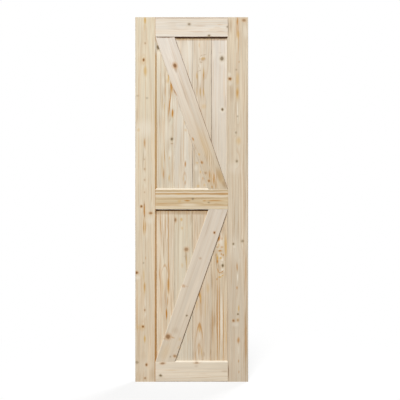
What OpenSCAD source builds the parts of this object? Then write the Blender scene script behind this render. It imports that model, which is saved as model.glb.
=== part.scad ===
// Sliding barn door slab: a stile and rail frame around two panels of tongued and grooved planks,
// with a slanting brace across the front of each panel. The front faces -Y and the foot stands on z = 0.

/* [Door slab] */

// Overall width across both stiles
door_w = 660.4; // [560:0.2:920]
// Overall height of the slab
door_h = 2133.6; // [1900:0.2:2440]
// Thickness of the frame boards
door_t = 35; // [30:0.5:44]

/* [Frame] */

// Width of each stile, its bevel included
stile_w = 124; // [100:1:150]
// Width of the top rail, its bevel included
top_rail_w = 122; // [100:1:220]
// Width of the middle rail, both of its bevels included
middle_rail_w = 130; // [100:1:220]
// Width of the bottom rail, its bevel included
bottom_rail_w = 122; // [100:1:260]
// Bevel along the edges that face the panels, front and back
bevel = 8; // [4:0.5:8.5]
// Easing along the outer edges of the frame
edge_ease = 2; // [0.5:0.5:4]
// Depth of the open vee on the face where a rail meets a stile
joint_vee = 1.4; // [0.4:0.2:1.8]
// Depth of the groove that houses the planks and the rail tongues
groove_d = 12; // [8:1:16]
// Play of a rail tongue in the stile groove, on each face and at its end
rail_play = 0.1; // [0.05:0.05:0.3]

/* [Plank panels] */

// Planks in each panel
plank_count = 4; // [3:1:5]
// Thickness of the planks
plank_t = 12; // [9:0.5:13]
// Distance that the plank seams sit to the right of a centred layout
seam_shift = 6; // [-15:1:15]
// Vee along each seam, on each plank, front and back
seam_vee = 1.5; // [0.5:0.25:2.5]
// Slit left between neighbouring planks, so that they can swell
seam_gap = 0.8; // [0.2:0.1:0.9]
// Thickness of a plank's tongue
tongue_t = 4; // [3:0.5:5]
// Length of a plank's tongue
tongue_l = 7; // [5:0.5:9]
// Play around a tongue in its neighbour's groove
tongue_play = 0.2; // [0.1:0.05:0.4]
// Play of a plank in the frame groove, on each face
plank_play = 0.2; // [0.1:0.05:0.4]
// Room left in the frame groove at the sides and the head of a panel
swell_room = 2; // [1:0.5:4]

/* [Braces] */

// Width of a brace across its grain
brace_w = 108; // [80:1:140]
// Distance from the frame's front face back to a brace's face
brace_drop = 1; // [0.5:0.25:2]
// Easing along the front edges of a brace
brace_ease = 1.5; // [0.5:0.25:3]
// Play between a brace's ends and the frame
brace_play = 0.3; // [0.1:0.1:0.6]

/* [Fixings] */

// Diameter of the dowels in the frame joints
dowel_d = 10; // [8:1:11]
// Length of a dowel, shared between a stile and a rail
dowel_l = 90; // [60:5:120]
// Distance between the two dowels of a joint
dowel_pitch = 60; // [40:2:64]
// Play around a dowel in its bores
dowel_play = 0.1; // [0.05:0.05:0.2]
// Screws from the back into each brace
screw_count = 6; // [4:1:8]
// Diameter of a screw's shank
screw_d = 4; // [3:0.25:5]
// Diameter of a screw's countersunk head
screw_head_d = 8; // [7:0.5:9]
// Distance that a screw enters the brace
screw_bite = 7.5; // [5:0.5:8]
// Distance from a brace's end to its first screw, along the brace
screw_end = 60; // [40:5:110]
// Play around a screw in its hole
screw_play = 0.1; // [0.05:0.05:0.2]

/* [Floor guide] */

// Width of the groove in the foot that runs over the floor guide
guide_w = 14; // [13.5:0.5:16]
// Depth of the groove in the foot
guide_d = 18; // [10:1:19]

/* [Hidden] */

$fn = 48;
over = 1;

groove_w = plank_t + 2 * plank_play;
recess = (door_t - plank_t) / 2;

// Clear space between the frame boards, at the planks
open_w = door_w - 2 * stile_w;
open_h = (door_h - top_rail_w - middle_rail_w - bottom_rail_w) / 2;
lower_z = bottom_rail_w;
middle_z = lower_z + open_h;
upper_z = middle_z + middle_rail_w;
top_z = upper_z + open_h;

// Planks run into the grooves and stand on the floor of the lower one
panel_w = open_w + 2 * (groove_d - swell_room);
plank_cover = panel_w / plank_count;
plank_l = open_h + 2 * groove_d - swell_room;

// A brace's outline runs from corner to corner of the bevelled opening, which sets its slope
brace_t = recess - brace_drop;
flare = bevel - brace_drop;
face_w = open_w + 2 * flare;
face_h = open_h + 2 * flare;
slope = acos(brace_w / norm([face_w, face_h])) - atan2(face_h, face_w);
brace_l = face_h / cos(slope);
screw_pitch = (brace_l - 2 * screw_end) / (screw_count - 1);

pine = [0.87, 0.81, 0.70];
pale_pine = [0.89, 0.85, 0.78];
beech = [0.80, 0.64, 0.45];
zinc = [0.75, 0.75, 0.72];

plank_numbers = [for (i = [1:plank_count]) i];

// A profile that is drawn for one side and mirrored to the other
function mirrored(side) = concat(side, [for (i = [len(side) - 1:-1:0]) [-side[i].x, side[i].y]]);

// Frame boards

// Cross-section of a board that lies along +X of the drawing and is centred on its thickness.
// A panel edge is bevelled and grooved, and an outer edge is only eased.
module board_section(w, panel_start, panel_end) {
    start_cut = panel_start ? bevel : edge_ease;
    end_cut = panel_end ? bevel : edge_ease;
    half = door_t / 2;
    difference() {
        polygon([
            [0, -half + start_cut], [start_cut, -half], [w - end_cut, -half], [w, -half + end_cut],
            [w, half - end_cut], [w - end_cut, half], [start_cut, half], [0, half - start_cut]
        ]);
        if (panel_start)
            translate([-over, -groove_w / 2]) square([groove_d + over, groove_w]);
        if (panel_end)
            translate([w - groove_d, -groove_w / 2]) square([groove_d + over, groove_w]);
    }
}

// Plan of a rail: its ends are scribed over the stile bevels and have a tongue for the stile groove
module rail_plan() {
    half = door_t / 2;
    shoulder = open_w / 2;
    tip = shoulder + bevel - joint_vee;
    tongue = shoulder + groove_d - rail_play;
    cheek = groove_w / 2 - rail_play;
    polygon(mirrored([
        [tip - joint_vee, -half], [tip, -half + joint_vee], [shoulder, -half + bevel], [shoulder, -cheek],
        [tongue, -cheek], [tongue, cheek], [shoulder, cheek], [shoulder, half - bevel],
        [tip, half - joint_vee], [tip - joint_vee, half]
    ]));
}

module rail(z, w, panel_below, panel_above) {
    difference() {
        translate([0, 0, z])
            intersection() {
                rotate([0, -90, 0])
                    linear_extrude(height = door_w, center = true)
                        board_section(w, panel_below, panel_above);
                linear_extrude(height = w) rail_plan();
            }
        dowel_places(z + w / 2) dowel_bore();
        floor_guide();
    }
}

module stile() {
    difference() {
        translate([-door_w / 2, 0, 0])
            linear_extrude(height = door_h) board_section(stile_w, false, true);
        for (z = [bottom_rail_w / 2, middle_z + middle_rail_w / 2, top_z + top_rail_w / 2])
            dowel_places(z) dowel_bore();
        floor_guide();
    }
}

module floor_guide() {
    translate([-door_w / 2 - over, -guide_w / 2, -over])
        cube([door_w + 2 * over, guide_w, guide_d + over]);
}

module left_stile() {
    color(pine) stile();
}

module right_stile() {
    color(pine) mirror([1, 0, 0]) stile();
}

module top_rail() {
    color(pine) rail(top_z, top_rail_w, true, false);
}

module middle_rail() {
    color(pine) rail(middle_z, middle_rail_w, true, true);
}

module bottom_rail() {
    color(pine) rail(0, bottom_rail_w, false, true);
}

// Plank panels

function seam_x(i) =
    i == 0 ? -panel_w / 2 :
    i == plank_count ? panel_w / 2 :
    seam_shift - panel_w / 2 + i * plank_cover;

// Cross-section of one plank: a vee on each seam edge, a groove to its left and a tongue to its right
module plank_section(i) {
    half = plank_t / 2;
    left = seam_x(i - 1) + (i > 1 ? seam_gap / 2 : 0);
    right = seam_x(i) - (i < plank_count ? seam_gap / 2 : 0);
    left_vee = i > 1 ? seam_vee : 0;
    right_vee = i < plank_count ? seam_vee : 0;
    slot_t = tongue_t + 2 * tongue_play;
    difference() {
        union() {
            polygon([
                [left, -half + left_vee], [left + left_vee, -half],
                [right - right_vee, -half], [right, -half + right_vee],
                [right, half - right_vee], [right - right_vee, half],
                [left + left_vee, half], [left, half - left_vee]
            ]);
            if (i < plank_count)
                translate([right - over, -tongue_t / 2]) square([tongue_l + seam_gap + over, tongue_t]);
        }
        if (i > 1)
            translate([left - over, -slot_t / 2]) square([tongue_l + tongue_play + over, slot_t]);
    }
}

module plank(i, z, lean) {
    difference() {
        translate([0, 0, z - groove_d])
            linear_extrude(height = plank_l) plank_section(i);
        screw_places(z + open_h / 2, lean) screw_hole();
    }
}

module upper_plank(i) {
    color(pine) plank(i, upper_z, -slope);
}

module lower_plank(i) {
    color(pine) plank(i, lower_z, slope);
}

// Braces

// Room for a brace in front of the planks, flared by the frame's bevels
module brace_room(half) {
    front = -door_t / 2 + brace_drop;
    back = -plank_t / 2;
    straight = half - brace_play;
    polygon(mirrored([
        [straight + flare, front], [straight, -door_t / 2 + bevel], [straight, back]
    ]));
}

module brace_section() {
    front = -door_t / 2 + brace_drop;
    back = -plank_t / 2;
    side = brace_w / 2;
    polygon(mirrored([
        [side - brace_ease, front], [side, front + brace_ease], [side, back]
    ]));
}

// A board laid on the slope, with its ends scribed to the opening
module brace(z, lean) {
    difference() {
        translate([0, 0, z + open_h / 2])
            intersection() {
                rotate([0, lean, 0])
                    linear_extrude(height = 2 * brace_l, center = true) brace_section();
                linear_extrude(height = 2 * open_h, center = true) brace_room(open_w / 2);
                rotate([0, 90, 0])
                    linear_extrude(height = 2 * open_w, center = true) brace_room(open_h / 2);
            }
        screw_places(z + open_h / 2, lean) screw_hole();
    }
}

module upper_brace() {
    color(pale_pine) brace(upper_z, -slope);
}

module lower_brace() {
    color(pale_pine) brace(lower_z, slope);
}

// Fixings

// Two dowels in each end of a rail, half in the stile and half in the rail
module dowel_places(z) {
    for (side = [-1, 1], level = [-1, 1])
        translate([side * open_w / 2, 0, z + level * dowel_pitch / 2]) rotate([0, 90, 0]) children();
}

module dowel_bore() {
    cylinder(d = dowel_d + 2 * dowel_play, h = dowel_l + 2 * dowel_play, center = true);
}

module dowel() {
    r = dowel_d / 2;
    end = dowel_l / 2;
    rotate_extrude()
        polygon([[0, -end], [r - over, -end], [r, -end + over], [r, end - over], [r - over, end], [0, end]]);
}

module rail_dowels(z) {
    color(beech) dowel_places(z) dowel();
}

module top_rail_dowels() {
    rail_dowels(top_z + top_rail_w / 2);
}

module middle_rail_dowels() {
    rail_dowels(middle_z + middle_rail_w / 2);
}

module bottom_rail_dowels() {
    rail_dowels(bottom_rail_w / 2);
}

// Screws stand in a row along the middle of a brace and go in from the back of the planks
module screw_places(z, lean) {
    for (i = [0:screw_count - 1])
        translate([0, plank_t / 2, z])
            rotate([0, lean, 0])
                translate([0, 0, (i - (screw_count - 1) / 2) * screw_pitch])
                    rotate([90, 0, 0])
                        children();
}

// Outline of a screw or of its hole, head at z = 0 and point at the far end
module screw_outline(play) {
    head = screw_head_d / 2 + play;
    shank = screw_d / 2 + play;
    tip = plank_t + screw_bite + play;
    polygon([
        [0, 0], [head, 0], [head, 0.5], [shank, 0.5 + head - shank],
        [shank, tip - screw_d], [0.5, tip], [0, tip]
    ]);
}

module screw_hole() {
    translate([0, 0, -over]) cylinder(d = screw_head_d + 2 * screw_play, h = over + 0.2);
    rotate_extrude() screw_outline(screw_play);
}

module screw() {
    drive_l = screw_head_d * 0.55;
    drive_w = screw_head_d * 0.14;
    difference() {
        rotate_extrude() screw_outline(0);
        for (turn = [0, 90])
            rotate([0, 0, turn])
                translate([-drive_l / 2, -drive_w / 2, -over]) cube([drive_l, drive_w, over + 1.4]);
    }
}

module upper_brace_screws() {
    color(zinc) screw_places(upper_z + open_h / 2, -slope) screw();
}

module lower_brace_screws() {
    color(zinc) screw_places(lower_z + open_h / 2, slope) screw();
}

left_stile();
right_stile();
top_rail();
middle_rail();
bottom_rail();
for (i = plank_numbers) upper_plank(i);
for (i = plank_numbers) lower_plank(i);
upper_brace();
lower_brace();
top_rail_dowels();
middle_rail_dowels();
bottom_rail_dowels();
upper_brace_screws();
lower_brace_screws();
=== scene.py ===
from math import acos, atan2, cos, degrees, hypot, radians, sin

import bpy
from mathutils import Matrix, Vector


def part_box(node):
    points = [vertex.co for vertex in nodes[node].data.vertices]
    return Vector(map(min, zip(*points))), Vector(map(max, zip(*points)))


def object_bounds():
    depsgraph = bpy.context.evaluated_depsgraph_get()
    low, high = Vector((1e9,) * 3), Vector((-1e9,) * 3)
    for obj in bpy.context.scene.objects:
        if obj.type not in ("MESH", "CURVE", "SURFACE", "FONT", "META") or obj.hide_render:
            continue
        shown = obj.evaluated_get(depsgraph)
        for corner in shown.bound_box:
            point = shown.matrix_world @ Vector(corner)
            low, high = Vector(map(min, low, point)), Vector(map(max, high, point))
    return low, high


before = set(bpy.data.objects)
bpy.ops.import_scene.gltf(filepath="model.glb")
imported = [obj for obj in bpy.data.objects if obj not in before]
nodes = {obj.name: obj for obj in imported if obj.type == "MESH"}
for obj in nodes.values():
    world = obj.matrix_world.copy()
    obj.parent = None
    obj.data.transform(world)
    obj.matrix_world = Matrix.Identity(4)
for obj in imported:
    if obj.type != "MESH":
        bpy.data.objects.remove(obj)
cad_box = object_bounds()


def linear(code):
    """An sRGB hex colour as the linear red, green, blue and alpha that a socket takes."""
    parts = [int(code[i:i + 2], 16) / 255 for i in (1, 3, 5)]
    return [c / 12.92 if c <= 0.04045 else ((c + 0.055) / 1.055) ** 2.4 for c in parts] + [1.0]


def add(tree, kind, inputs=None, **settings):
    """Adds a node, sets its properties, and links or sets its inputs."""
    node = tree.nodes.new(kind)
    for name, value in settings.items():
        setattr(node, name, value)
    for key, value in (inputs or {}).items():
        if isinstance(value, bpy.types.NodeSocket):
            tree.links.new(value, node.inputs[key])
        else:
            node.inputs[key].default_value = value
    return node


def new_material(name):
    """A material with an empty node tree, and that tree."""
    material = bpy.data.materials.new(name)
    material.use_nodes = True
    material.node_tree.nodes.clear()
    return material, material.node_tree


# Slope of the braces in degrees, from their width and the opening that they cross, in mm
BRACE_WIDTH = 108
OPENING = (426.4, 893.8)
LEAN = degrees(acos(BRACE_WIDTH / hypot(*OPENING)) - atan2(OPENING[1], OPENING[0]))

# Colours of the marks in the pine. Stains, painted shade and painted highlights take these colours and lie
# over each other in this order; a knot has a halo and a heart.
STAIN_AND_PAINTED_LIGHT_COLOURS = {"pale": "#EDE4D3", "amber": "#CB9E45", "brown": "#A07C50", "orange": "#B4781C", "dark": "#6E4A28"}
KNOTS = {"brown": ("#BD8844", "#7C5329"), "grey": ("#B09A78", "#6C5A3C")}
LATE_ARCH = "#B98644"

# Ways that a bevel can face
ASIDE, UPWARD = cos(radians(LEAN)), sin(radians(LEAN))
UNDER, RIGHT = (0, 0, -1), (1, 0, 0)
UP_RIGHT, DOWN_RIGHT = (ASIDE, 0, UPWARD), (ASIDE, 0, -UPWARD)
UP_LEFT, DOWN_LEFT = (-ASIDE, 0, UPWARD), (-ASIDE, 0, -UPWARD)

# What each board is cut from and what marks it. Places are mm to the right of the slab's middle and mm up
# from its foot. With 76 marks, swells of the rings among them, a board's material failed and rendered black.
#   turn        degrees that the grain leans to the right, 90 for the rails
#   seed        takes the board to its own part of each pattern
#   head, foot  colour of the early wood at the board's top and bottom, or at a rail's right and left end
#   late        colour of the late wood
#   ring        mm from one growth ring to the next
#   pith        mm from the board's middle to the middle of the stem, across its width and its thickness
#   tilt        degrees between the board and the stem, in the face and out of it
#   figure      how strongly growth rings show
#   grain       how strongly straight lines and fibres show
#   knots       place, radius, darkness, how much longer than wide it is
#   arches      place of the apex, half width at the feet, length down the board, strength
#   swirls      place, half width, half length, growth rings that close around it
#   stains_and_painted_light  resin and heart staining, painted shade and painted highlights: place, half
#   width, half length, strength, and the slant of one that leaves the grain
#   bevels      the way that one faces, the colour of the painted shade or painted highlight on it, strength
BOARDS = {
    "left_stile": dict(
        turn=0, seed=1, head="#DED2B9", foot="#D9C7AD", late="#C19560", ring=7.5, pith=(-12, 70),
        tilt=(0.4, -0.9), figure=0.22, grain=0.9,
        knots={"brown": [(-273, 1981, 5, 0.35, 1.2), (-281, 1884, 5.5, 1.0, 1.5), (-276, 1302, 4, 0.2, 1.3),
                         (-276, 1245, 5, 0.3, 1.3), (-276, 1181, 5, 0.25, 1.3), (-276, 1109, 4, 0.25, 1.3),
                         (-295, 1026, 6.5, 0.9, 1.1), (-241, 987, 11, 0.55, 0.7), (-322, 639, 9, 0.85, 0.8),
                         (-276, 420, 5, 0.45, 1.2), (-285, 323, 6, 0.85, 1.2), (-265, 100, 5.5, 0.8, 1.4),
                         (-274, 22, 6, 0.5, 1.1)],
               "grey": [(-317, 1673, 9, 0.22, 0.7), (-262, 1661, 8, 0.28, 0.8), (-283, 695, 5, 0.3, 1.2),
                        (-320, 114, 11, 0.4, 0.7)]},
        swirls=[(-272, 1500, 16, 160, 0.8)],
        # The amber and orange marks 210 mm left of the middle lie on the bevel of the stile's inner edge and
        # are painted shade along it. The dark one at 995 mm is painted shade in the corner under the middle
        # rail, and the pale one at 1965 mm is painted light at the top of that bevel.
        stains_and_painted_light={"amber": [(-273, 2115, 7, 30, 0.9), (-274, 2075, 3, 36, 0.45), (-285, 1878, 30, 40, 0.18),
                          (-271, 1818, 11, 44, 0.65), (-311, 1474, 8, 15, 0.35), (-277, 905, 8, 66, 0.45),
                          (-276, 548, 8, 50, 0.5), (-281, 620, 5, 60, 0.4), (-300, 318, 28, 24, 0.3),
                          (-274, 250, 6, 30, 0.8), (-210, 1480, 6, 620, 0.3)],
                "orange": [(-276, 1398, 5, 36, 0.65), (-277, 1003, 5.5, 66, 1.0),
                           (-283, 912, 2.7, 60, 0.75), (-271, 905, 2.7, 55, 0.75), (-270, 725, 3, 14, 0.5),
                           (-275, 556, 5, 32, 0.5), (-240, 986, 9, 6, 0.5), (-210, 300, 8, 1300, 0.65)],
                "brown": [(-284, 1290, 2.5, 85, 0.55, 3), (-320, 1560, 5, 62, 0.35),
                          (-270, 800, 2.5, 75, 0.4), (-229, 45, 14, 60, 0.25)],
                "dark": [(-210, 995, 5, 18, 0.7), (-277, 1036, 3, 9, 0.5), (-277, 970, 3, 9, 0.5)],
                "pale": [(-273, 1340, 5, 34, 0.5), (-276, 1480, 50, 75, 0.45), (-276, 90, 50, 60, 0.2),
                         (-274, 1215, 5, 22, 0.35), (-274, 1145, 5, 22, 0.35), (-263, 870, 9, 60, 0.3),
                         (-245, 945, 22, 30, 0.35), (-314, 610, 14, 18, 0.5), (-274, 465, 3.5, 40, 0.7),
                         (-274, 390, 5, 20, 0.6), (-209, 1965, 7, 58, 1.0)]},
        # The bevel along the stile's inner edge is painted golden brown, as shade.
        bevels=[(RIGHT, "#CE9854", 0.65)]),
    "right_stile": dict(
        turn=0, seed=2, head="#DACBB2", foot="#CFC0AA", late="#B68B5A", ring=7.0, pith=(4, -62),
        tilt=(-0.3, 0.8), figure=0.22, grain=0.9,
        knots={"brown": [(306, 2116, 11, 0.55, 0.8), (224, 1773, 8, 0.85, 0.85), (270, 361, 6, 0.35, 1.2),
                         (245, 358, 6.5, 0.7, 1.0)],
               "grey": [(262, 1825, 6, 0.3, 1.0), (267, 1553, 5, 0.3, 1.1), (259, 1458, 5, 0.45, 1.6),
                        (264, 1291, 6.5, 0.55, 1.1), (243, 806, 6, 0.75, 1.1), (297, 824, 9, 0.5, 0.9),
                        (272, 396, 5, 0.85, 1.1)]},
        swirls=[(267, 640, 14, 150, 1.0), (268, 1560, 12, 120, 0.9)],
        stains_and_painted_light={"orange": [(268, 2108, 5, 42, 1.0), (263, 2050, 2.4, 56, 0.65), (269, 2075, 8, 60, 0.5),
                           (275, 1985, 2.5, 110, 0.65), (277, 1872, 4, 10, 0.4), (268, 1690, 6, 26, 0.5),
                           (266, 673, 4, 34, 0.75), (265, 549, 4, 14, 0.75), (273, 243, 8, 25, 0.8),
                           (274, 121, 4, 12, 0.6), (276, 58, 4, 12, 0.5), (315, 640, 5, 160, 0.45),
                           (316, 250, 5, 190, 0.5)],
                "amber": [(270, 2032, 8, 36, 0.6), (267, 1770, 9, 55, 0.5), (268, 1690, 9, 58, 0.6),
                          (274, 1410, 14, 34, 0.45), (275, 430, 4, 26, 0.7), (270, 362, 9, 16, 0.3)],
                "brown": [(228, 2085, 8, 62, 0.45), (236, 1690, 12, 64, 0.3), (311, 1060, 6, 240, 0.4),
                          (309, 570, 5, 90, 0.3), (249, 943, 2.5, 120, 0.5), (316, 250, 7, 300, 0.6),
                          (256, 1600, 2.5, 50, 0.35), (324, 1500, 5, 420, 0.3)],
                "pale": [(267, 1590, 3, 70, 0.75), (255, 1250, 45, 50, 0.25), (255, 770, 45, 110, 0.25),
                         (314, 2050, 12, 55, 0.4), (224, 1745, 12, 20, 0.35), (220, 1797, 12, 20, 0.4),
                         (250, 790, 14, 14, 0.5), (268, 610, 3, 34, 0.85), (256, 335, 22, 18, 0.3),
                         (274, 185, 4, 40, 0.4)],
                "dark": [(215, 2077, 2.2, 70, 0.8), (215, 60, 2.2, 70, 0.8)]}),
    "top_rail": dict(
        turn=90, seed=3, head="#E3D9CA", foot="#E3D9CA", late="#CFAE82", ring=7.0, pith=(8, 80),
        tilt=(0.2, 0.8), figure=0.22, grain=0.8,
        knots={"grey": [(-14, 2093, 7, 0.6, 1.3), (209, 2077, 6, 0.5, 1.0), (102, 2026, 6.5, 0.75, 1.1)]},
        swirls=[(-60, 2075, 20, 90, 0.8)],
        stains_and_painted_light={"orange": [(48, 2083, 2.5, 46, 0.4), (165, 2089, 3, 24, 0.45), (40, 2048, 2.5, 70, 0.4),
                           (170, 2050, 3, 32, 0.3)],
                "brown": [(0, 2130, 6, 2000, 0.5), (212, 2077, 400, 3, 0.35), (-90, 2102, 3, 80, 0.25),
                          (-60, 2060, 3, 90, 0.2)]},
        # The bevel under the rail is painted nearly black brown, as shade.
        bevels=[(UNDER, "#4E2A0C", 0.97)]),
    "middle_rail": dict(
        turn=90, seed=4, head="#CFBA96", foot="#D3BE9A", late="#B38650", ring=8.0, pith=(30, -48),
        tilt=(0.3, 0.2), figure=0.33, grain=0.8,
        knots={"grey": [(6, 1070, 6, 0.55, 1.2), (99, 1049, 5, 0.5, 1.3)]},
        # The pale mark at 1129 mm is a painted highlight on the bevel along the rail's top.
        stains_and_painted_light={"pale": [(0, 1129, 6, 2000, 0.9), (0, 1109, 3, 2000, 0.6), (0, 1087, 8, 900, 0.5),
                         (-20, 1035, 8, 70, 0.5), (0, 1023, 6, 2000, 0.35), (0, 1010.5, 2.2, 2000, 0.9)],
                "orange": [(0, 1100, 4, 2000, 0.55), (-26, 1060, 3.5, 24, 1.0), (74, 1060, 3, 14, 0.8),
                           (135, 1060, 3, 70, 0.95), (-175, 1041, 3, 50, 0.4)],
                "amber": [(-80, 1099, 5, 26, 0.5), (-72, 1058, 9, 14, 0.35)],
                "brown": [(0, 1117, 3, 2000, 0.45), (20, 1073, 4, 260, 0.5), (120, 1038, 3, 72, 0.4),
                          (150, 1100, 7, 90, 0.4), (-90, 1043, 3, 62, 0.3), (213, 1066, 400, 3, 0.35)]},
        # The bevel under the rail is painted nearly black brown, as shade.
        bevels=[(UNDER, "#4E2A0C", 0.97)]),
    "bottom_rail": dict(
        turn=90, seed=5, head="#E2D4BE", foot="#E5D7C2", late="#C09B6C", ring=7.5, pith=(-10, 75),
        tilt=(-0.3, -0.6), figure=0.25, grain=0.6,
        knots={"brown": [(-170, 108, 6.5, 0.55, 2.0), (28, 112, 6, 0.45, 2.0)],
               "grey": [(-182, 36, 7, 0.85, 1.1)]},
        swirls=[(60, 55, 18, 120, 1.2)],
        # The pale mark at 119 mm is a painted highlight on the bevel along the rail's top, and the brown one
        # at 3 mm is painted shade along the foot.
        stains_and_painted_light={"pale": [(0, 119, 6, 2000, 0.9)],
                "brown": [(0, 3, 4, 2000, 0.25), (212, 60, 400, 3, 0.35), (192, 62, 5, 26, 0.3),
                          (27, 92, 8, 16, 0.25), (60, 24, 3, 90, 0.2)],
                "amber": [(-120, 67, 3, 60, 0.3)]}),
    "upper_plank_1": dict(
        turn=0, seed=6, head="#DED5C0", foot="#D8CDB7", late="#BC8E58", ring=7.0, pith=(30, 55),
        tilt=(-0.5, 1.0), figure=0.3, grain=1.0,
        knots={"grey": [(-196, 1960, 12, 0.9, 1.3), (-117, 1421, 8, 0.85, 1.1)]},
        swirls=[(-118, 1480, 20, 60, 0.8)],
        stains_and_painted_light={"orange": [(-118, 1732, 7, 46, 1.0), (-129, 1630, 4, 100, 1.0, 6), (-112, 1574, 5, 30, 1.0),
                           (-160, 1325, 3, 55, 0.65), (-164, 1218, 4, 46, 0.65),
                           (-155, 1700, 3.5, 40, 0.6)],
                "amber": [(-136, 1780, 4, 40, 0.7), (-143, 1760, 6, 20, 0.5), (-113, 1568, 7, 30, 0.7),
                          (-119, 1725, 9, 56, 0.7), (-130, 1310, 5, 14, 0.45), (-132, 1195, 5, 28, 0.5),
                          (-174, 1270, 7, 120, 0.25), (-160, 1612, 3, 36, 0.5), (-174, 1640, 3, 60, 0.3)],
                "brown": [(-155, 1775, 3.5, 95, 0.65), (-105, 1715, 3, 30, 0.4, -22),
                          (-116, 1395, 9, 4, 0.8), (-127, 1697, 8, 40, 0.4), (-126, 1535, 4, 20, 0.35, 20),
                          (-166, 1700, 2.5, 40, 0.3), (-168, 1640, 2, 90, 0.4), (-157, 1640, 2, 90, 0.4),
                          (-176, 1290, 2, 90, 0.35)],
                "pale": [(-119, 1630, 6, 80, 0.6), (-163, 1640, 2, 90, 0.5), (-168, 1760, 5, 40, 0.5),
                         (-108, 1640, 4, 60, 0.4), (-140, 1460, 26, 90, 0.35), (-127, 1330, 9, 44, 0.5),
                         (-102, 1400, 4, 500, 0.7), (-203, 1930, 18, 55, 0.35)]}),
    "upper_plank_2": dict(
        turn=0, seed=7, head="#DCD3C3", foot="#D7CDBB", late="#C19864", ring=7.5, pith=(-10, 90),
        tilt=(0.3, -0.8), figure=0.3, grain=0.85,
        arches=[(-42, 1222, 18, 90, 0.35)],
        swirls=[(-39, 1272, 12, 36, 1.0)],
        # The amber and brown marks across the plank's head, at 2011 and 2005 mm, are painted shade under the
        # top rail.
        stains_and_painted_light={"orange": [(-38, 1274, 5, 25, 0.9), (-37, 1166, 4, 20, 0.5)],
                "amber": [(-48, 1186, 3, 20, 0.5), (-42, 1520, 5, 24, 0.4), (-36, 1474, 8, 12, 0.35),
                          (-70, 1230, 6, 90, 0.2), (-50, 2011, 500, 10, 0.6)],
                "brown": [(-68, 1330, 3, 130, 0.25), (-50, 2005, 500, 10, 0.45)],
                "pale": [(-38, 1330, 6, 40, 0.35), (-102, 1400, 4, 500, 0.7), (-46, 1276, 4, 20, 0.4),
                         (-74, 1966, 14, 50, 0.5), (-25, 1930, 34, 110, 0.5), (-6, 1250, 5, 130, 0.3)],
                "dark": [(4, 1240, 1.8, 170, 0.6)]}),
    "upper_plank_3": dict(
        turn=0, seed=8, head="#DCCFBB", foot="#D5C8B2", late="#B99263", ring=7.0, pith=(0, 68),
        tilt=(0.2, 1.1), figure=0.3, grain=0.95,
        arches=[(66, 1193, 14, 60, 0.5)],
        swirls=[(66, 1760, 20, 120, 0.8)],
        # The amber and brown marks across the plank's head, at 2011 and 2005 mm, are painted shade under the
        # top rail.
        stains_and_painted_light={"amber": [(67, 1893, 14, 13, 0.65), (69, 1806, 4, 44, 0.7), (30, 1790, 6, 30, 0.55),
                          (30, 1697, 4, 34, 0.4), (51, 1697, 6, 32, 0.5), (69, 1697, 4, 34, 0.6),
                          (72, 1612, 14, 22, 0.35), (44, 1972, 4, 22, 0.5), (60, 2011, 500, 10, 0.6),
                          (31, 1281, 10, 9, 0.4), (51, 1228, 6, 14, 0.45), (37, 1146, 10, 12, 0.4),
                          (75, 1152, 7, 14, 0.4)],
                "brown": [(74, 1916, 12, 3.5, 0.5, -12), (56, 1910, 8, 3.5, 0.45, -40),
                          (45, 1889, 2.5, 15, 0.55, 6), (53, 1871, 10, 3.5, 0.65, 14),
                          (42, 1848, 2.5, 17, 0.45, -14), (46, 1822, 9, 3.5, 0.45, -20),
                          (34, 1817, 7, 3.5, 0.4, 25), (60, 2005, 500, 10, 0.45), (70, 1760, 5, 130, 0.5),
                          (33, 1760, 5, 110, 0.4), (53, 1690, 5, 60, 0.4), (67, 1888, 15, 16, 0.35)],
                "orange": [(52, 1586, 5, 9, 0.6), (69, 1795, 3, 24, 0.5)],
                "dark": [(116, 1570, 1.6, 900, 0.9), (5, 1240, 1.8, 170, 0.6)],
                "pale": [(55, 1900, 5, 9, 0.6), (50, 1848, 7, 16, 0.35), (48, 1770, 6, 60, 0.4),
                         (60, 1697, 2.5, 30, 0.5), (25, 1251, 12, 24, 0.4), (44, 1185, 6, 26, 0.35)]}),
    "upper_plank_4": dict(
        turn=0, seed=9, head="#E0D6C9", foot="#D4C8B5", late="#CBAA7F", ring=8.0, pith=(16, 95),
        tilt=(-0.2, 0.6), figure=0.15, grain=0.7,
        knots={"grey": [(177, 1893, 12, 0.75, 1.1), (180, 1595, 6.5, 0.95, 1.2)]},
        # The brown and amber marks across the plank's head, at 2006 and 2011 mm, are painted shade under the
        # top rail.
        stains_and_painted_light={"pale": [(179, 1890, 28, 44, 0.5), (179, 1592, 16, 24, 0.6), (200, 1860, 8, 40, 0.4),
                         (130, 1930, 9, 70, 0.5)],
                "brown": [(170, 2006, 500, 11, 0.6), (168, 1926, 12, 4, 0.25), (124, 1420, 8, 170, 0.2),
                          (196, 1640, 4, 60, 0.25)],
                "amber": [(170, 2011, 500, 9, 0.4)],
                "dark": [(116, 1570, 1.6, 900, 0.9)]}),
    "lower_plank_1": dict(
        turn=0, seed=10, head="#E1D3BB", foot="#DCCDB4", late="#BA8B55", ring=7.0, pith=(-6, 52),
        tilt=(0.3, 0.9), figure=0.3, grain=1.0,
        arches=[(-158, 682, 24, 75, 0.55)],
        # The amber, dark and brown marks across the plank's head, at 1002, 1001 and 992 mm, are painted shade
        # under the middle rail.
        stains_and_painted_light={"orange": [(-182, 915, 2.5, 150, 0.75, -2), (-156, 925, 2.5, 110, 0.75),
                           (-138, 860, 2.7, 260, 0.85), (-185, 610, 2.5, 190, 0.6),
                           (-134, 640, 3.5, 130, 0.85), (-121, 850, 2, 200, 0.4), (-136, 565, 6, 75, 0.8),
                           (-142, 470, 4, 45, 0.75, 4), (-148, 396, 4.5, 42, 1.0),
                           (-156, 500, 2.5, 85, 0.65), (-189, 625, 4, 48, 0.5), (-187, 470, 2.5, 100, 0.35),
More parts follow.
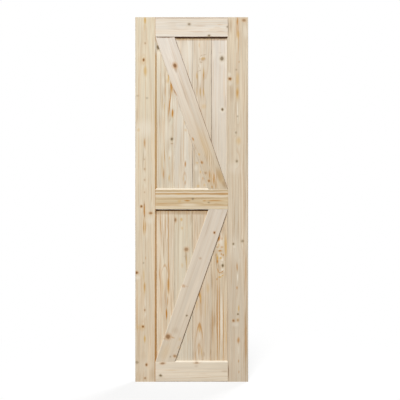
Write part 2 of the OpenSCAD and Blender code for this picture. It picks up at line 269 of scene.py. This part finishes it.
                           (-121, 470, 2.5, 90, 0.4), (-109, 500, 2.5, 60, 0.35)],
                "amber": [(-136, 560, 9, 60, 0.5), (-170, 560, 5, 70, 0.3), (-150, 1002, 500, 9, 0.5)],
                "dark": [(-150, 1001, 500, 3.5, 0.7)],
                "brown": [(-166, 790, 2, 170, 0.55, -2), (-150, 780, 2, 130, 0.45),
                          (-150, 992, 500, 17, 0.45), (-174, 470, 2.5, 60, 0.3)],
                "pale": [(-165, 665, 9, 12, 0.35), (-146, 880, 4, 80, 0.45), (-166, 930, 4, 60, 0.4),
                         (-115, 760, 6, 160, 0.3), (-163, 560, 4, 60, 0.35)]}),
    "lower_plank_2": dict(
        turn=0, seed=11, head="#D7CBB3", foot="#D6CBB7", late="#BD9562", ring=7.5, pith=(12, 85),
        tilt=(-0.3, -0.7), figure=0.3, grain=0.85,
        knots={"brown": [(-97, 948, 8, 0.6, 1.5), (-31, 774, 12, 0.55, 1.0)]},
        swirls=[(-31, 700, 16, 110, 1.0)],
        # The amber, brown and dark marks across the plank's head, at 1002, 991 and 1001 mm, are painted shade
        # under the middle rail.
        stains_and_painted_light={"amber": [(-60, 949, 8, 15, 0.75), (-57, 899, 7, 14, 0.45), (-56, 680, 8, 20, 0.3),
                          (-31, 705, 4, 48, 0.6), (-68, 197, 6, 14, 0.35), (-60, 1002, 500, 9, 0.5)],
                "brown": [(-34, 738, 5, 52, 0.7), (-32, 670, 3, 60, 0.4), (-41, 735, 8, 2.5, 0.45),
                          (-4, 960, 7, 62, 0.45), (-60, 991, 500, 18, 0.55), (0, 850, 5, 110, 0.25)],
                "orange": [(-2, 420, 5, 10, 0.6)],
                "dark": [(-60, 1001, 500, 3.5, 0.7)]}),
    "lower_plank_3": dict(
        turn=0, seed=12, head="#D7C7AF", foot="#D7C6AE", late="#B68C5A", ring=7.0, pith=(-14, 60),
        tilt=(0.3, 1.0), figure=0.32, grain=0.95,
        arches=[(45, 330, 26, 130, 0.8), (42, 215, 20, 80, 0.35)],
        # The amber, brown and dark marks across the plank's head, at 1002, 991 and 1001 mm, are painted shade
        # under the middle rail.
        stains_and_painted_light={"orange": [(43, 512, 6, 24, 0.8, -8), (52, 470, 4, 22, 0.5, -6), (41, 180, 3, 48, 0.6),
                           (20, 150, 3, 40, 0.45)],
                "amber": [(46, 304, 6, 22, 0.55), (50, 498, 5.5, 36, 0.75, -8), (31, 450, 5, 50, 0.4),
                          (58, 175, 5, 40, 0.35), (80, 430, 6, 90, 0.2), (95, 545, 10, 40, 0.3),
                          (60, 1002, 500, 9, 0.5)],
                "brown": [(51, 945, 3, 66, 0.45), (20, 915, 3, 62, 0.35), (72, 160, 5, 20, 0.4),
                          (8, 155, 3, 46, 0.4), (112, 170, 4, 24, 0.5), (100, 420, 4, 150, 0.25),
                          (60, 991, 500, 18, 0.55)],
                "dark": [(60, 1001, 500, 3.5, 0.7)],
                "pale": [(46, 262, 7, 36, 0.4), (33, 160, 3, 40, 0.35)]}),
    "lower_plank_4": dict(
        turn=0, seed=13, head="#D7C9B0", foot="#D5C5AB", late="#B28350", ring=7.0, pith=(8, 45),
        tilt=(-0.3, 0.9), figure=0.32, grain=1.0,
        knots={"grey": [(181, 679, 7.5, 0.95, 1.1)]},
        stains_and_painted_light={"pale": [(170, 825, 15, 60, 0.75), (174, 360, 7, 200, 0.7), (156, 360, 2.5, 200, 0.4),
                         (168, 735, 10, 14, 0.4), (172, 690, 8, 26, 0.4), (180, 655, 9, 12, 0.6),
                         (179, 714, 9, 16, 0.7), (174, 624, 14, 4, 0.5, -20)],
                "amber": [(151, 724, 6, 20, 0.95), (171, 724, 6, 11, 0.9), (145, 742, 4, 11, 0.6),
                          (164, 612, 10, 6, 0.85), (180, 622, 9, 5, 0.8, -30), (160, 800, 6, 16, 0.5),
                          (200, 795, 10, 80, 0.6), (197, 330, 3, 150, 0.45), (203, 250, 2.5, 60, 0.4)],
                "orange": [(158, 838, 11, 30, 1.0, LEAN), (151, 788, 8, 5, 0.8), (178, 788, 8, 5, 0.8),
                           (166, 766, 13, 7, 1.0), (174, 747, 3.5, 10, 0.9), (184, 742, 4.5, 10, 0.9),
                           (151, 702, 6, 18, 1.0), (178, 836, 4, 13, 0.6), (154, 650, 3.5, 22, 0.85, -20),
                           (166, 637, 10, 4, 0.9), (180, 646, 10, 3.5, 0.9, -38), (149, 600, 5, 12, 0.8),
                           (122, 330, 5, 140, 0.3), (150, 385, 3, 420, 0.85), (162, 360, 3, 350, 0.85),
                           (186, 290, 3, 320, 0.85)],
                "brown": [(143, 715, 3, 80, 0.75, -3), (159, 672, 3, 28, 0.65), (121, 320, 6, 130, 0.45),
                          (134, 360, 7, 60, 0.5), (118, 590, 6, 75, 0.4), (139, 560, 4, 80, 0.35),
                          (200, 650, 5, 90, 0.25)]}),
    "upper_brace": dict(
        turn=-LEAN, seed=14, head="#E4DACD", foot="#CCBA9E", late="#C9A67C", ring=7.5, pith=(-6, 85),
        tilt=(0.2, -0.7), figure=0.14, grain=0.65,
        knots={"brown": [(-99, 1851, 11, 0.85, 1.3), (59, 1283, 5, 0.4, 1.6), (81, 1222, 8, 0.35, 0.9),
                         (101, 1175, 5, 0.45, 1.2)]},
        # The dark mark at 2016 mm is a painted shadow of the top rail across the brace's head. The dark line
        # through 56 mm right of the middle at 1572 mm is painted shade along the brace's right edge.
        stains_and_painted_light={"amber": [(74, 1385, 22, 150, 0.25), (43, 1330, 5, 11, 0.6), (120, 1190, 14, 60, 0.25),
                          (168, 1200, 16, 60, 0.35)],
                "brown": [(-45, 1697, 5, 145, 0.4), (-94, 1828, 8, 30, 0.6), (20, 1375, 4, 28, 0.4),
                          (160, 1212, 18, 62, 0.42), (188, 1155, 11, 34, 0.5),
                          (78, 1318, 2.5, 26, 0.5, LEAN), (140, 1160, 8, 40, 0.3),
                          (86, 1300, 2.5, 40, 0.4, LEAN), (93, 1305, 1.8, 62, 0.4, LEAN),
                          (104, 1300, 1.8, 62, 0.45, LEAN), (116, 1290, 1.8, 60, 0.45, LEAN),
                          (127, 1280, 1.8, 55, 0.4, LEAN)],
                "orange": [(60, 1284, 6, 13, 0.6), (101, 1176, 7, 12, 0.7), (8, 1420, 5, 17, 0.85),
                           (104, 1212, 3.5, 36, 0.75, LEAN), (126, 1193, 3.5, 60, 0.8, LEAN),
                           (134, 1190, 2.8, 40, 1.0, LEAN), (119, 1140, 5, 10, 0.8, LEAN),
                           (142, 1150, 3, 34, 0.6, LEAN), (-100, 1700, 4, 40, 0.8, -10),
                           (114, 1192, 1.8, 70, 0.6, LEAN), (143, 1185, 1.8, 62, 0.6, LEAN)],
                "pale": [(120, 1195, 1.8, 60, 0.6, LEAN), (129, 1190, 1.8, 60, 0.6, LEAN),
                         (139, 1200, 1.8, 60, 0.6, LEAN), (98, 1300, 1.8, 55, 0.4, LEAN),
                         (110, 1295, 1.8, 55, 0.4, LEAN)],
                "dark": [(-157, 2016, 62, 4.5, 0.95, LEAN), (56, 1572, 2, 2000, 0.8)]},
        # The bevel along the right edge is painted dark brown, as shade, and the one along the left edge is
        # painted pale, as a highlight.
        bevels=[(UP_RIGHT, "#5E3617", 0.95), (DOWN_LEFT, "#F4EADA", 0.8)]),
    "lower_brace": dict(
        turn=LEAN, seed=15, head="#D7CAB9", foot="#D8C9B3", late="#BC9A73", ring=7.5, pith=(10, 90),
        tilt=(-0.3, 0.6), figure=0.1, grain=0.45,
        knots={"brown": [(133, 873, 5.5, 0.95, 1.1), (-138, 264, 15, 0.7, 1.0), (-99, 151, 8, 0.45, 1.1),
                         (50, 722, 7, 0.25, 1.0)],
               "grey": [(-29, 388, 5, 0.75, 1.1), (-124, 146, 5, 0.35, 1.1)]},
        # The pale line 55 mm left of the brace's middle is a painted highlight along its left edge.
        stains_and_painted_light={"orange": [(-48, 561, 14, 13, 0.5), (-30, 560, 12, 4, 0.3), (-168, 254, 13, 6, 0.5),
                           (-110, 258, 14, 6, 0.45), (-99, 151, 9, 9, 0.4)],
                "amber": [(-155, 175, 24, 70, 0.2), (-70, 250, 8, 16, 0.3), (-78, 200, 6, 12, 0.3)],
                "pale": [(-55, 562, 2.2, 2000, 0.5)],
                "brown": [(-95, 300, 22, 26, 0.2), (95, 900, 8, 90, 0.15)]},
        # The bevel along the right edge is painted brown, as shade, and the one along the left edge is
        # painted pale, as a highlight.
        bevels=[(DOWN_RIGHT, "#8C5C2A", 0.9), (UP_LEFT, "#F4EADA", 0.4)]),
}

# Noises in the pine: size of a patch in mm across, through and along the board, and the step to each board.
# Fibres are drawn about ten times as wide as real ones, so that they show.
PATTERNS = {
    "bend": dict(size=(22, 22, 55), step=(4.1, 2.3, 0), detail=1.0, roughness=0.5),
    "wander": dict(size=(70, 70, 420), step=(7.3, 3.1, 0), detail=3.0, roughness=0.55),
    "lines": dict(size=(5, 5, 800), step=(5.3, 0, 0.7), detail=2.0, roughness=0.5),
    "fibres": dict(size=(6, 6, 260), step=(1.7, 0, 1), detail=4.0, roughness=0.62),
    "drift": dict(size=(38, 38, 500), step=(0, 2.9, 0), detail=2.0, roughness=0.5),
}
BEND = 0.006  # m, how far the fibres carry a mark out of line
WANDER = 16  # mm, how far the rings leave a straight stem
ENDLESS = 1e3  # m, a scale so long that a mark or a ring runs straight on that way

# Late wood over the parts of a year: it darkens slowly and ends sharply
SEASONS = ((0.50, 0.10), (0.80, 0.9), (0.94, 1.0))
WEAK_YEAR, STRONG_YEAR = 0.15, 1.35  # share of the board's figure that a year's ring gets

# Rings swell around a knot by so many radii across and along, and by so many rings. The swell of a swirl
# reaches past its half width and half length.
KNOT_ACROSS, KNOT_ALONG, KNOT_RINGS = 3.4, 9, 0.9
SWIRL_ACROSS, SWIRL_ALONG = 1.6, 1.4
FAINT = 0.35  # knots up to this darkness are pins, too small for the rings to swell around

# Share of a knot's darkness that its halo and its heart take, the radii up to which each is full, and the
# radii at which it is gone
HALO, HEART = (0.8, 0.8, 2.4), (1.0, 0.75, 1.4)
RAGGED = 0.5  # radii that the fibres take from the rim of a knot

# A mark of staining, painted shade or painted highlight fades from this part of its size on, and its soft end
# reaches past its half width and half length
MARK_FULL, MARK_ACROSS, MARK_ALONG = 0.15, 1.5, 1.1

# How far the normal of a bevel turns the way that the bevel faces
BEVEL_COSINE = cos(radians(45))
BEVEL_TOLERANCE = 0.2


def carried(x, z):
    """A place on the slab's face in mm, in m and where the bent fibres carry it on average."""
    return x / 1000 + BEND / 2, 0, z / 1000 + BEND / 2


def marked(tree, place, turn, marks, full, gone, ragged=0.0):
    """How strongly a group of marks covers each place on a board. A mark is its place, half width, half
    length, strength and slant; how far it is full and where it is gone are parts of its own size."""
    cover = 0.0
    for x, z, across, along, strength, slant in marks:
        from_mark = add(tree, "ShaderNodeMapping", {
            "Vector": place, "Location": carried(x, z), "Rotation": (0, turn + radians(slant), 0),
            "Scale": (across / 1000, ENDLESS, along / 1000)}, vector_type="TEXTURE")
        reach = add(tree, "ShaderNodeVectorMath", {0: from_mark.outputs["Vector"]}, operation="LENGTH")
        rim = add(tree, "ShaderNodeMath", {0: reach.outputs["Value"], 1: ragged})
        fade = add(tree, "ShaderNodeMapRange", {
            "Value": rim.outputs["Value"], "From Min": full, "From Max": gone,
            "To Min": strength, "To Max": 0.0}, interpolation_type="SMOOTHSTEP")
        cover = add(tree, "ShaderNodeMath", {0: cover, 1: fade.outputs["Result"]},
                    operation="MAXIMUM").outputs["Value"]
    return cover


def arched(tree, place, turn, arches):
    """How strongly late wood that was sawn across shows: lines along parabolas, strongest at the apex."""
    cover = 0.0
    for x, z, half_width, length, strength in arches:
        from_apex = add(tree, "ShaderNodeMapping", {
            "Vector": place, "Location": carried(x, z), "Rotation": (0, turn, 0),
            "Scale": (half_width / 1000, ENDLESS, -length / 1000)}, vector_type="TEXTURE")
        split = add(tree, "ShaderNodeSeparateXYZ", {"Vector": from_apex.outputs["Vector"]})
        squared = add(tree, "ShaderNodeMath", {0: split.outputs["X"], 1: 2.0}, operation="POWER")
        off_line = add(tree, "ShaderNodeMath", {0: squared.outputs["Value"], 1: split.outputs["Z"]},
                       operation="SUBTRACT")
        beside = add(tree, "ShaderNodeMath", {0: off_line.outputs["Value"]}, operation="ABSOLUTE")
        line = add(tree, "ShaderNodeMapRange", {
            "Value": beside.outputs["Value"], "From Min": 0.03, "From Max": 0.2,
            "To Min": strength, "To Max": 0.0}, interpolation_type="SMOOTHSTEP")
        fading = add(tree, "ShaderNodeMapRange", {
            "Value": split.outputs["Z"], "From Min": 0.1, "From Max": 1.1, "To Min": 1.0, "To Max": 0.0})
        arch = add(tree, "ShaderNodeMath", {0: line.outputs["Result"], 1: fading.outputs["Result"]},
                   operation="MULTIPLY")
        cover = add(tree, "ShaderNodeMath", {0: cover, 1: arch.outputs["Value"]},
                    operation="MAXIMUM").outputs["Value"]
    return cover


def pattern(tree, board, vector, name):
    """One of the noises in the pine, in the part of it that belongs to the board."""
    noise = PATTERNS[name]
    part = add(tree, "ShaderNodeMapping", {
        "Vector": vector, "Location": [board["seed"] * step for step in noise["step"]],
        "Scale": [1 / size for size in noise["size"]]})
    return add(tree, "ShaderNodeTexNoise", {
        "Vector": part.outputs["Vector"], "Scale": 1.0, "Detail": noise["detail"],
        "Roughness": noise["roughness"]})


def tinted(tree, colour, cover, share, code):
    """The colour with another over it, as far as that covers the place and by the share that it takes."""
    part = add(tree, "ShaderNodeMath", {0: cover, 1: share}, operation="MULTIPLY")
    mixed = add(tree, "ShaderNodeMix", {
        "Factor": part.outputs["Value"], "A": colour, "B": linear(code)}, data_type="RGBA")
    return mixed.outputs["Result"]


def late_wood_in(tree, board, bent, wandered):
    """How much late wood each place holds, from none at 0 to nothing else at 1."""
    # Growth rings, counted out from the pith; they close around knots and sawn bumps of the stem
    across_pith, through_pith = board["pith"]
    in_face, out_of_face = board["tilt"]
    around_pith = add(tree, "ShaderNodeMapping", {
        "Vector": wandered, "Location": (across_pith + WANDER / 2, through_pith + WANDER / 2, 0),
        "Rotation": (radians(out_of_face), radians(in_face), 0),
        "Scale": (board["ring"], board["ring"], 1000 * ENDLESS)}, vector_type="TEXTURE")
    out_from_pith = add(tree, "ShaderNodeVectorMath", {0: around_pith.outputs["Vector"]}, operation="LENGTH")
    swells = [(x, z, KNOT_ACROSS * radius, KNOT_ALONG * radius, KNOT_RINGS, 0)
              for group in board.get("knots", {}).values()
              for x, z, radius, dark, _ in group if dark > FAINT]
    swells += [(x, z, SWIRL_ACROSS * half_width, SWIRL_ALONG * half_length, count, 0)
               for x, z, half_width, half_length, count in board.get("swirls", [])]
    swell = marked(tree, bent, radians(board["turn"]), swells, 0.0, 1.0)
    rings = add(tree, "ShaderNodeMath", {0: out_from_pith.outputs["Value"], 1: swell}).outputs["Value"]

    # Some years are stronger than others
    year = add(tree, "ShaderNodeMath", {0: rings}, operation="FLOOR")
    vigour = add(tree, "ShaderNodeTexWhiteNoise", {"W": year.outputs["Value"]}, noise_dimensions="1D")
    season = add(tree, "ShaderNodeMath", {0: rings}, operation="FRACT")
    late = add(tree, "ShaderNodeValToRGB", {"Fac": season.outputs["Value"]})
    stops = late.color_ramp.elements
    stops[0].position, stops[0].color = 0.0, (0, 0, 0, 1)
    stops[1].position, stops[1].color = 1.0, (0, 0, 0, 1)
    for position, value in SEASONS:
        stops.new(position).color = (value, value, value, 1)
    late_strength = add(tree, "ShaderNodeMapRange", {
        "Value": vigour.outputs["Value"], "To Min": WEAK_YEAR * board["figure"],
        "To Max": STRONG_YEAR * board["figure"]})
    ringed = add(tree, "ShaderNodeMath", {
        0: late.outputs["Color"], 1: late_strength.outputs["Result"]}, operation="MULTIPLY")

    # Where rings leave the face at a shallow angle, late wood shows as straight lines some 5 mm wide
    lines = pattern(tree, board, wandered, "lines")
    lined = add(tree, "ShaderNodeMapRange", {
        "Value": lines.outputs["Fac"], "From Min": 0.5, "From Max": 0.72, "To Max": 0.6 * board["grain"]},
        interpolation_type="SMOOTHSTEP")
    return add(tree, "ShaderNodeMath", {0: ringed.outputs["Value"], 1: lined.outputs["Result"]},
               operation="MAXIMUM").outputs["Value"]


def bare_wood(tree, board, to_head, late_wood, fibre, drift):
    """Early and late wood, lighter and darker along the fibres and where sap and heart wood drift."""
    early = add(tree, "ShaderNodeMix", {
        "Factor": to_head, "A": linear(board["foot"]), "B": linear(board["head"])}, data_type="RGBA")
    both_woods = add(tree, "ShaderNodeMix", {
        "Factor": late_wood, "A": early.outputs["Result"], "B": linear(board["late"])}, data_type="RGBA")
    drift_tone = add(tree, "ShaderNodeMapRange", {
        "Value": drift, "From Min": 0.3, "From Max": 0.7, "To Min": 0.94, "To Max": 1.06})
    fibre_tone = add(tree, "ShaderNodeMapRange", {
        "Value": fibre, "From Min": 0.3, "From Max": 0.7, "To Min": 1 - 0.11 * board["grain"],
        "To Max": 1 + 0.09 * board["grain"]})
    tone = add(tree, "ShaderNodeMath", {0: drift_tone.outputs["Result"], 1: fibre_tone.outputs["Result"]},
               operation="MULTIPLY")
    return add(tree, "ShaderNodeVectorMath", {
        0: both_woods.outputs["Result"], "Scale": tone.outputs["Value"]}, operation="SCALE").outputs["Vector"]


def painted_bevel_light(tree, board, normal, colour):
    """The colour with painted shade or a painted highlight on some bevels, which are all cut at 45 degrees.
    """
    for facing, code, strength in board.get("bevels", []):
        toward = add(tree, "ShaderNodeVectorMath", {0: normal, 1: facing}, operation="DOT_PRODUCT")
        on_bevel = add(tree, "ShaderNodeMath", {
            0: toward.outputs["Value"], 1: BEVEL_COSINE, 2: BEVEL_TOLERANCE}, operation="COMPARE")
        colour = tinted(tree, colour, on_bevel.outputs["Value"], strength, code)
    return colour


def stained_and_painted_light(tree, board, bent, fibre, colour):
    """The colour under late wood arches, then resin and heart staining, painted shade and painted highlights,
    all broken up along the fibres.
    """
    turn = radians(board["turn"])
    broken = add(tree, "ShaderNodeMapRange", {
        "Value": fibre, "From Min": 0.62, "From Max": 0.36, "To Min": 0.75, "To Max": 1.15})
    layers = []
    if "arches" in board:
        layers.append((arched(tree, bent, turn, board["arches"]), LATE_ARCH))
    for mark_colour_name, code in STAIN_AND_PAINTED_LIGHT_COLOURS.items():
        if mark_colour_name in board["stains_and_painted_light"]:
            marks = [(x, z, MARK_ACROSS * across, MARK_ALONG * along, strength, slant[0] if slant else 0)
                     for x, z, across, along, strength, *slant in board["stains_and_painted_light"][mark_colour_name]]
            layers.append((marked(tree, bent, turn, marks, MARK_FULL, 1.0), code))
    for cover, code in layers:
        colour = tinted(tree, colour, cover, broken.outputs["Result"], code)
    return colour


def knotted(tree, board, bent, fibre, colour):
    """The colour with its knots: a stained halo, then the cut branch with a ragged rim."""
    ragged = add(tree, "ShaderNodeMath", {0: fibre, 1: RAGGED}, operation="MULTIPLY").outputs["Value"]
    for kind, group in board.get("knots", {}).items():
        knots = [(x, z, radius, radius * stretch, dark, 0) for x, z, radius, dark, stretch in group]
        for code, (share, full, gone) in zip(KNOTS[kind], (HALO, HEART)):
            cover = marked(tree, bent, radians(board["turn"]), knots, full, gone, ragged)
            colour = tinted(tree, colour, cover, share, code)
    return colour


def pine(name, board):
    """Knotty pine, planed and sanded and left bare: pale early wood between orange late wood lines that run
    with the board, close around knots and show as arcs on the sawn ends, on a matt, fibrous surface."""
    material, tree = new_material("knotty_pine_planed_" + name)
    low, high = (Vector(corner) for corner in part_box(name))
    half_length = (high.x - low.x if board["turn"] == 90 else high.z - low.z) * 1000 / 2

    # The board's own axes in mm: X across its width, Y through its thickness, Z along its grain
    place = add(tree, "ShaderNodeTexCoord")
    board_mm = add(tree, "ShaderNodeMapping", {
        "Vector": place.outputs["Object"], "Location": (low + high) / 2,
        "Rotation": (0, radians(board["turn"]), 0), "Scale": (0.001, 0.001, 0.001)},
        vector_type="TEXTURE").outputs["Vector"]
    # Fibres are never quite straight, and marks follow them
    bend = pattern(tree, board, board_mm, "bend")
    bent = add(tree, "ShaderNodeVectorMath", {
        0: bend.outputs["Color"], 1: (BEND, 0, BEND), 2: place.outputs["Object"]},
        operation="MULTIPLY_ADD").outputs["Vector"]
    # The stem was never quite straight either, and rings wander with it
    wander = pattern(tree, board, board_mm, "wander")
    wandered = add(tree, "ShaderNodeVectorMath", {
        0: wander.outputs["Color"], 1: (WANDER, WANDER, 0), 2: board_mm},
        operation="MULTIPLY_ADD").outputs["Vector"]

    late_wood = late_wood_in(tree, board, bent, wandered)
    fibre = pattern(tree, board, wandered, "fibres").outputs["Fac"]
    drift = pattern(tree, board, wandered, "drift").outputs["Fac"]
    along_board = add(tree, "ShaderNodeSeparateXYZ", {"Vector": board_mm})
    to_head = add(tree, "ShaderNodeMapRange", {
        "Value": along_board.outputs["Z"], "From Min": -half_length, "From Max": half_length})
    colour = bare_wood(tree, board, to_head.outputs["Result"], late_wood, fibre, drift)
    # Painted shade and painted highlights on some bevels
    colour = painted_bevel_light(tree, board, place.outputs["Normal"], colour)
    # Staining, plus painted shade and painted highlights along some edges and under the rails
    colour = stained_and_painted_light(tree, board, bent, fibre, colour)
    colour = knotted(tree, board, bent, fibre, colour)

    relief = add(tree, "ShaderNodeMath", {0: late_wood, 1: 0.5, 2: fibre}, operation="MULTIPLY_ADD")
    bump = add(tree, "ShaderNodeBump", {
        "Strength": 0.25, "Distance": 0.0004, "Height": relief.outputs["Value"]})
    gloss = add(tree, "ShaderNodeMapRange", {"Value": late_wood, "To Min": 0.62, "To Max": 0.5})
    surface = add(tree, "ShaderNodeBsdfPrincipled", {
        "Base Color": colour, "Roughness": gloss.outputs["Result"], "Specular IOR Level": 0.25,
        "Normal": bump.outputs["Normal"]})
    add(tree, "ShaderNodeOutputMaterial", {"Surface": surface.outputs["BSDF"]})
    return material


def beech():
    """Beech, turned to a dowel: even pinkish tan with short fine flecks along the pin."""
    material, tree = new_material("beech_turned")
    fleck_length, fleck_width = 8, 0.8  # mm
    place = add(tree, "ShaderNodeTexCoord")
    fleck_mm = add(tree, "ShaderNodeMapping", {
        "Vector": place.outputs["Object"],
        "Scale": (1000 / fleck_length, 1000 / fleck_width, 1000 / fleck_width)})
    fleck = add(tree, "ShaderNodeTexNoise", {
        "Vector": fleck_mm.outputs["Vector"], "Scale": 1.0, "Detail": 3.0})
    colour = add(tree, "ShaderNodeMix", {
        "Factor": fleck.outputs["Fac"], "A": linear("#D9B48A"), "B": linear("#B98A5C")}, data_type="RGBA")
    surface = add(tree, "ShaderNodeBsdfPrincipled", {
        "Base Color": colour.outputs["Result"], "Roughness": 0.6, "Specular IOR Level": 0.3})
    add(tree, "ShaderNodeOutputMaterial", {"Surface": surface.outputs["BSDF"]})
    return material


def zinc():
    """Steel, stamped and zinc plated: cool grey with a faint cloudy bloom."""
    material, tree = new_material("steel_zinc_plated")
    bloom_size = 2  # mm
    place = add(tree, "ShaderNodeTexCoord")
    bloom_mm = add(tree, "ShaderNodeMapping", {
        "Vector": place.outputs["Object"], "Scale": [1000 / bloom_size] * 3})
    bloom = add(tree, "ShaderNodeTexNoise", {
        "Vector": bloom_mm.outputs["Vector"], "Scale": 1.0, "Detail": 4.0})
    colour = add(tree, "ShaderNodeMix", {
        "Factor": bloom.outputs["Fac"], "A": linear("#C9CBCB"), "B": linear("#A3A6A8")}, data_type="RGBA")
    rough = add(tree, "ShaderNodeMapRange", {"Value": bloom.outputs["Fac"], "To Min": 0.28, "To Max": 0.5})
    surface = add(tree, "ShaderNodeBsdfPrincipled", {
        "Base Color": colour.outputs["Result"], "Metallic": 1.0, "Roughness": rough.outputs["Result"]})
    add(tree, "ShaderNodeOutputMaterial", {"Surface": surface.outputs["BSDF"]})
    return material


def dress(name, material):
    """Gives a CAD piece its finish."""
    for slot in nodes[name].material_slots:
        slot.material = material


for name, board in BOARDS.items():
    dress(name, pine(name, board))
dowel_beech = beech()
for name in ("top_rail_dowels", "middle_rail_dowels", "bottom_rail_dowels"):
    dress(name, dowel_beech)
screw_steel = zinc()
for name in ("upper_brace_screws", "lower_brace_screws"):
    dress(name, screw_steel)

# Studio: a pale floor and a white surround
WHITE = linear("#FFFFFF")
SLAB_MIDDLE = Vector((0, 0, 1.07))
FLOOR_REACH = 6  # m from the slab to each edge of the floor
SURROUND_LIGHT = 0.07  # what the surround gives the slab, where 1 is white


def seen_directly(tree):
    """1 for what the camera sees, itself or in metal or glass, and 0 for light that bounces."""
    path = add(tree, "ShaderNodeLightPath")
    seen = add(tree, "ShaderNodeMath", {0: path.outputs["Is Camera Ray"], 1: path.outputs["Is Glossy Ray"]},
               operation="MAXIMUM")
    seen = add(tree, "ShaderNodeMath", {0: seen.outputs["Value"], 1: path.outputs["Is Transmission Ray"]},
               operation="MAXIMUM")
    return seen.outputs["Value"]


def paper():
    """Matt background paper: white to the camera, with the slab's soft shadow on it."""
    material, tree = new_material("paper_matt_white")
    seen = seen_directly(tree)
    place = add(tree, "ShaderNodeTexCoord")
    # The shadow shows near the slab, and further off the paper is lifted to white
    away = add(tree, "ShaderNodeVectorMath", {0: place.outputs["Object"]}, operation="LENGTH")
    lift = add(tree, "ShaderNodeMapRange", {
        "Value": away.outputs["Value"], "From Min": 0.4, "From Max": 1.9, "To Min": 0.8, "To Max": 1.0},
        interpolation_type="SMOOTHSTEP")
    share = add(tree, "ShaderNodeMath", {0: seen, 1: lift.outputs["Result"]}, operation="MULTIPLY")
    # Darker to light that bounces, so that little of it comes up under the rails
    tint = add(tree, "ShaderNodeMix", {
        "Factor": seen, "A": linear("#7C7C7C"), "B": linear("#EDEDED")}, data_type="RGBA")
    matt = add(tree, "ShaderNodeBsdfDiffuse", {"Color": tint.outputs["Result"]})
    white = add(tree, "ShaderNodeEmission", {"Color": WHITE, "Strength": 1.0})
    both = add(tree, "ShaderNodeMixShader", {
        0: share.outputs["Value"], 1: matt.outputs["BSDF"], 2: white.outputs["Emission"]})
    add(tree, "ShaderNodeOutputMaterial", {"Surface": both.outputs["Shader"]})
    return material


floor_mesh = bpy.data.meshes.new("floor")
floor_corners = [(FLOOR_REACH * x, FLOOR_REACH * y, 0) for x, y in ((-1, -1), (1, -1), (1, 1), (-1, 1))]
floor_mesh.from_pydata(floor_corners, [], [(0, 1, 2, 3)])
floor_mesh.materials.append(paper())
floor = bpy.data.objects.new("floor", floor_mesh)
bpy.context.scene.collection.objects.link(floor)

world = bpy.data.worlds.new("studio")
bpy.context.scene.world = world
world.use_nodes = True
sky = world.node_tree
sky.nodes.clear()
fill = add(sky, "ShaderNodeMapRange", {
    "Value": seen_directly(sky), "To Min": SURROUND_LIGHT, "To Max": 1.0})
surround = add(sky, "ShaderNodeBackground", {"Color": WHITE, "Strength": fill.outputs["Result"]})
add(sky, "ShaderNodeOutputWorld", {"Surface": surround.outputs["Background"]})


def lamp(name, place, size, power):
    """A square lamp that points at the middle of the slab, with its size in m and its power in watts."""
    light = bpy.data.lights.new(name, "AREA")
    light.size = size
    light.energy = power
    obj = bpy.data.objects.new(name, light)
    obj.location = place
    obj.rotation_euler = (SLAB_MIDDLE - Vector(place)).to_track_quat("-Z", "Y").to_euler()
    bpy.context.scene.collection.objects.link(obj)


lamp("key_upper_left", (-2.9, -19.2, 14.9), 4.2, 5960)
lamp("back_upper_right", (8.0, 15.0, 13.0), 6.0, 4200)

# The photograph looks straight at the front, and one of its points is this many mm on the slab's face
POINT_MM = 5.851
PICTURE_POINTS = 400
PICTURE_WIDTH = PICTURE_POINTS * POINT_MM / 1000
PICTURE_MIDDLE = (0.0485, 1.0637)  # m to the right of the slab's middle and up from its foot
LENS_MM, SENSOR_MM = 70, 36
camera_data = bpy.data.cameras.new("camera")
camera_data.lens = LENS_MM
camera_data.sensor_width = SENSOR_MM
camera = bpy.data.objects.new("camera", camera_data)
front = cad_box[0][1]
camera.location = (PICTURE_MIDDLE[0], front - PICTURE_WIDTH * LENS_MM / SENSOR_MM, PICTURE_MIDDLE[1])
camera.rotation_euler = (radians(90), 0, 0)
bpy.context.scene.collection.objects.link(camera)
bpy.context.scene.camera = camera
bpy.context.scene.view_settings.view_transform = "Standard"
